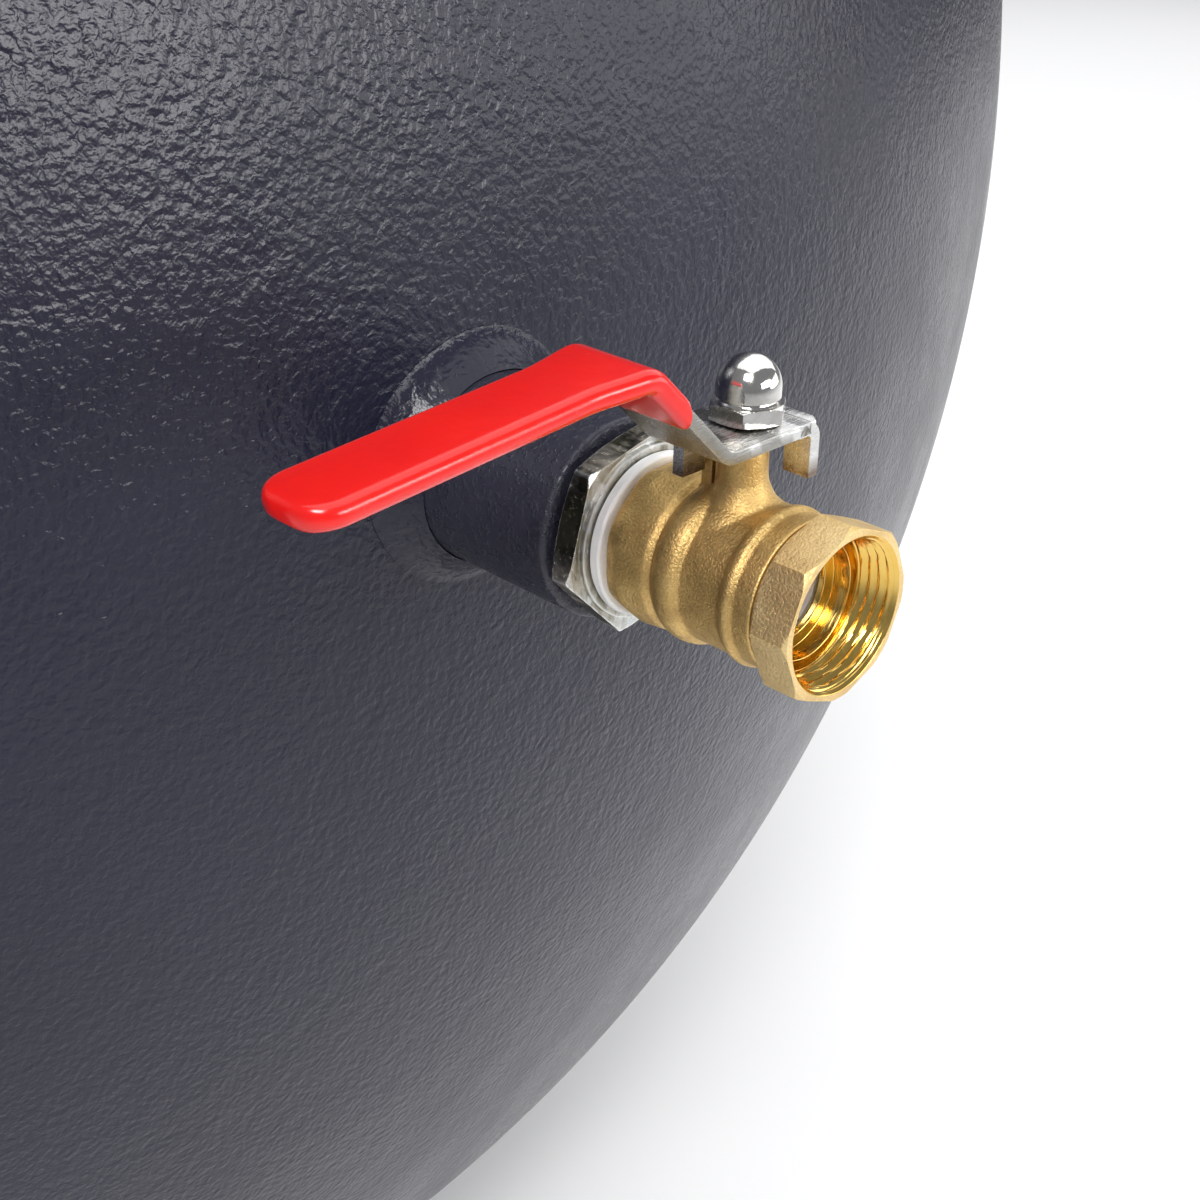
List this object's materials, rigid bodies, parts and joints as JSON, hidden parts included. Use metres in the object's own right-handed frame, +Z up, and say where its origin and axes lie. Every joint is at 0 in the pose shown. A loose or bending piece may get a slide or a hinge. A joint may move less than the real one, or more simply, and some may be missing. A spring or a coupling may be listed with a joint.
{
  "type": "horizontal pressure tank with ball valve",
  "caption": "Horizontal steel pressure tank with dished heads on welded saddles, and a lever ball valve screwed into the socket at the middle of its front head.",
  "frame": {"origin": "on the floor, under the middle of the bounding box", "axes": "+X along the tank towards the head with the valve, +Z up, and the shut lever points to -Y"},
  "size_m": [1.7116, 0.6046, 0.7213],
  "materials": {
    "tank_paint": "dark graphite powder coat, satin with a fine orange peel",
    "cast_brass": "sand-cast brass, fine matte grain, brighter on the ridges",
    "machined_brass": "turned brass",
    "zinc_plate": "zinc plate, lightly stained",
    "plated_steel": "nickel-zinc plated pressed steel, sheared edges",
    "nickel_plate": "polished nickel plate",
    "chrome_ball": "hard chrome, polished",
    "red_vinyl": "dip-moulded red vinyl, glossy",
    "white_ptfe": "white PTFE, matte"
  },
  "bodies": {
    "tank": {"shell": "tank_paint", "front_head": "tank_paint", "rear_head": "tank_paint", "front_seam_weld": "tank_paint", "rear_seam_weld": "tank_paint", "outlet_socket": "tank_paint", "outlet_socket_weld": "tank_paint", "rear_socket": "tank_paint", "rear_socket_weld": "tank_paint", "top_socket": "tank_paint", "top_socket_weld": "tank_paint", "drain_socket": "tank_paint", "drain_socket_weld": "tank_paint", "front_saddle_web": "tank_paint", "front_saddle_base": "tank_paint", "front_saddle_weld": "tank_paint", "front_saddle_left_gusset": "tank_paint", "front_saddle_right_gusset": "tank_paint", "rear_saddle_web": "tank_paint", "rear_saddle_base": "tank_paint", "rear_saddle_weld": "tank_paint", "rear_saddle_left_gusset": "tank_paint", "rear_saddle_right_gusset": "tank_paint", "rear_plug": "zinc_plate", "top_plug": "zinc_plate", "drain_plug": "zinc_plate", "hex_nipple": "zinc_plate", "ptfe_seal_ring": "white_ptfe", "outer_seat": "white_ptfe", "inner_seat": "white_ptfe", "stem_packing": "white_ptfe", "valve_body": "cast_brass", "valve_end_cap": "cast_brass"},
    "valve_lever": {"ball": "chrome_ball", "valve_stem": "machined_brass", "lever": "plated_steel", "lever_grip": "red_vinyl", "lever_nut": "nickel_plate"}
  },
  "joints": [
    {"name": "valve_lever_turn", "type": "hinge", "parent": "tank", "child": "valve_lever", "pos_m": [0.83327, 0, 0.39], "axis": [0, 0, 1], "range_deg": [0, 90]}
  ]
}
